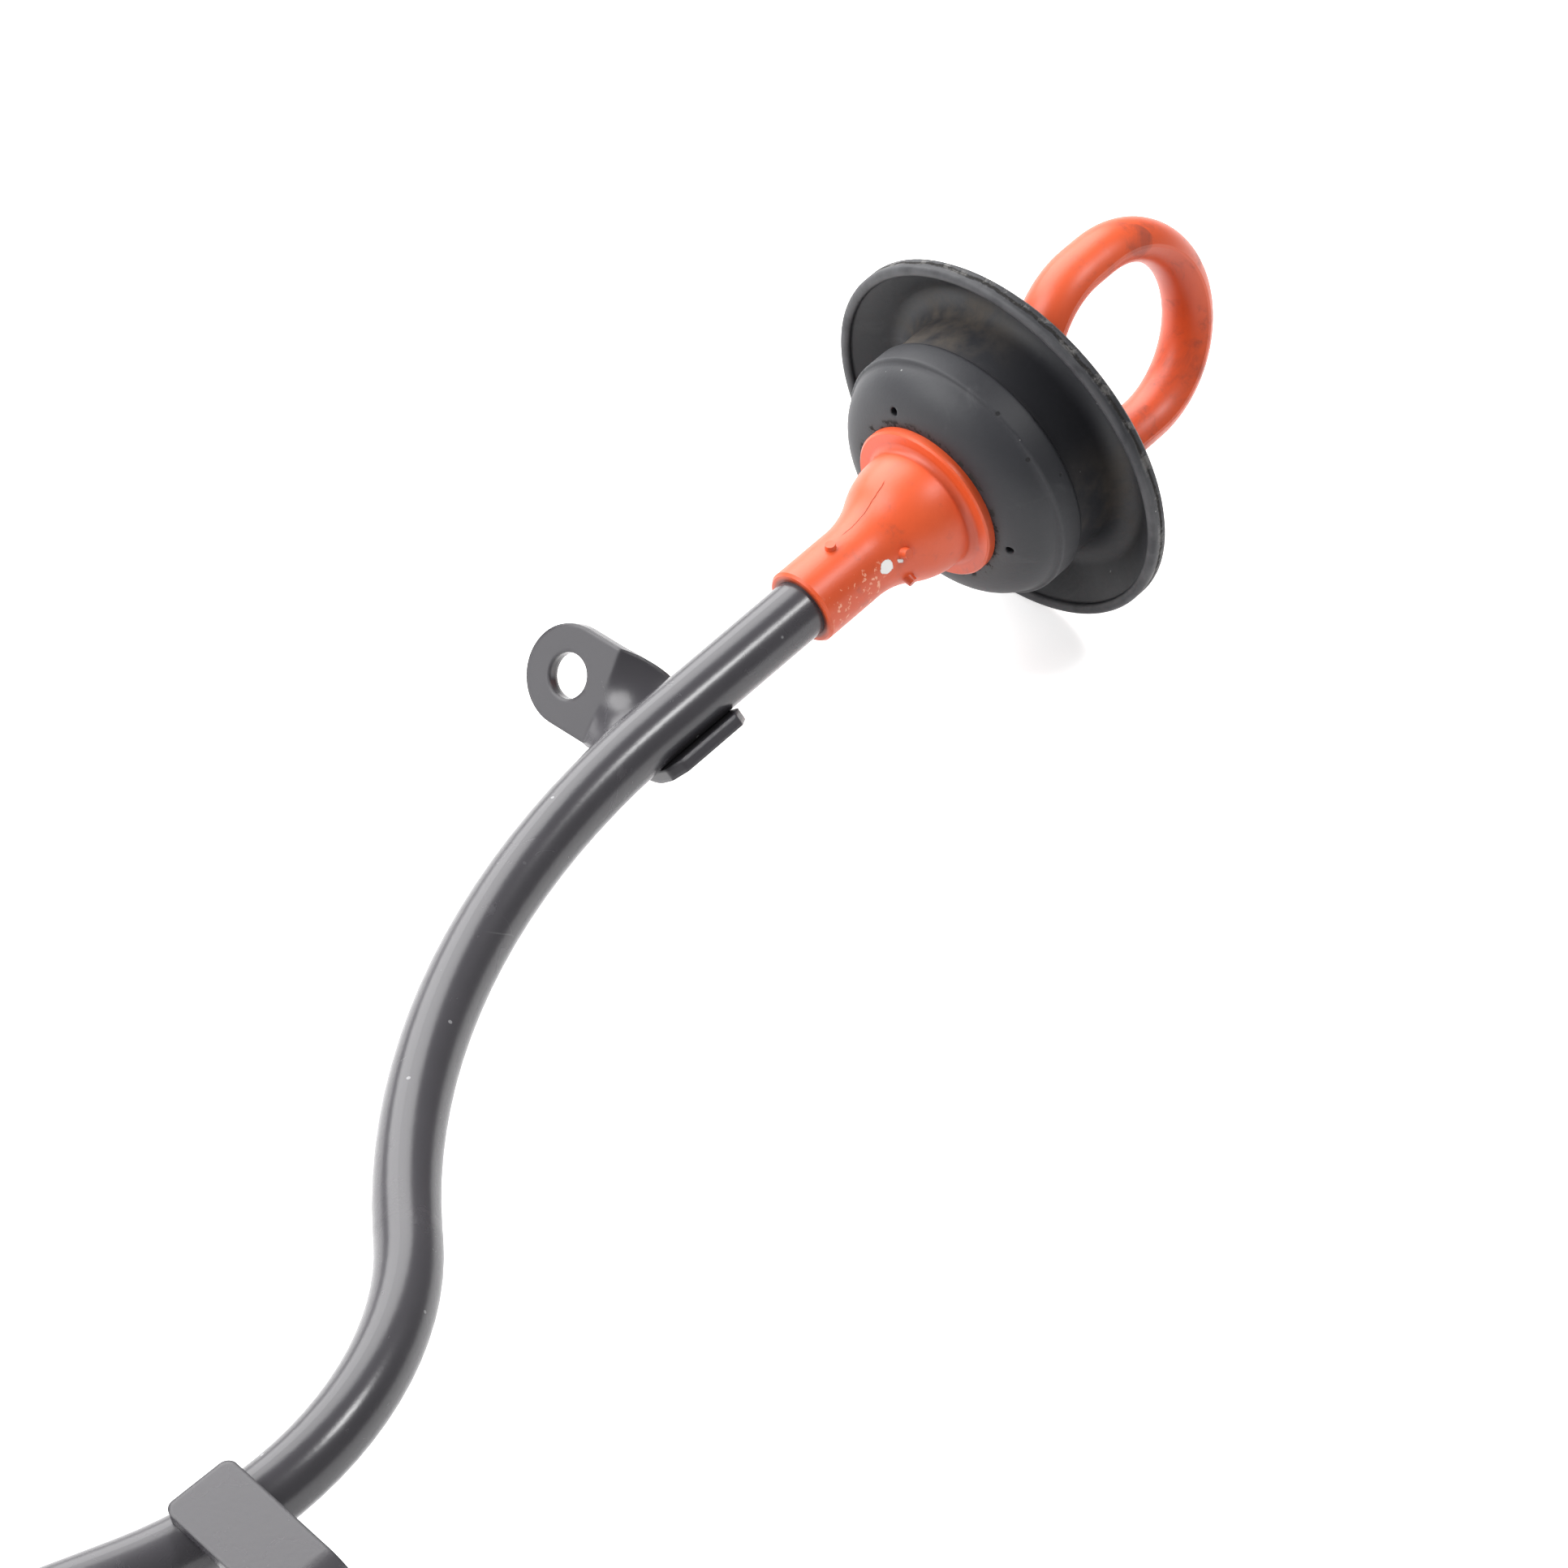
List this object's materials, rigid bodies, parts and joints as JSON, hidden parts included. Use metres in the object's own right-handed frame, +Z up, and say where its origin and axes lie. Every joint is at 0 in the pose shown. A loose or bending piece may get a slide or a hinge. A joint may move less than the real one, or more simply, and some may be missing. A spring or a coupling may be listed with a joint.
{
  "type": "oil dipstick tube",
  "caption": "Bent black steel oil dipstick guide tube with welded brackets, an orange funnel, a flexible rubber panel grommet and a ring-handled dipstick that pulls out.",
  "frame": {"origin": "middle of the bounding box at floor level, with the part lying as it comes to rest", "axes": "+Z up from the floor, +X along the length towards the ring handle, with the pull of the dipstick in the XZ plane"},
  "size_m": [0.3566, 0.1204, 0.0632],
  "materials": {
    "black_paint": "satin black paint, rubbed and specked",
    "orange_plastic": "moulded, semi-matte, stained with oil dirt",
    "grommet_rubber": "matte, dusty, with a cracked flash line",
    "seal_rubber": "smooth",
    "spring_steel": "oiled"
  },
  "bodies": {
    "tube_assembly": {"guide_tube": "black_paint", "lower_o_ring": "seal_rubber", "upper_bracket": "black_paint", "lower_bracket": "black_paint", "dipstick_funnel": "orange_plastic", "sealing_grommet": "grommet_rubber"},
    "dipstick": {"dipstick_handle": "orange_plastic", "plug_o_ring": "seal_rubber", "dipstick_blade": "spring_steel", "gauge_tip": "spring_steel"}
  },
  "joints": [
    {"name": "dipstick_pull", "type": "slide", "parent": "tube_assembly", "child": "dipstick", "axis": [0.9922, 0, 0.1243], "range_m": [0, 0.3], "deforming": ["dipstick_blade", "gauge_tip"]}
  ]
}
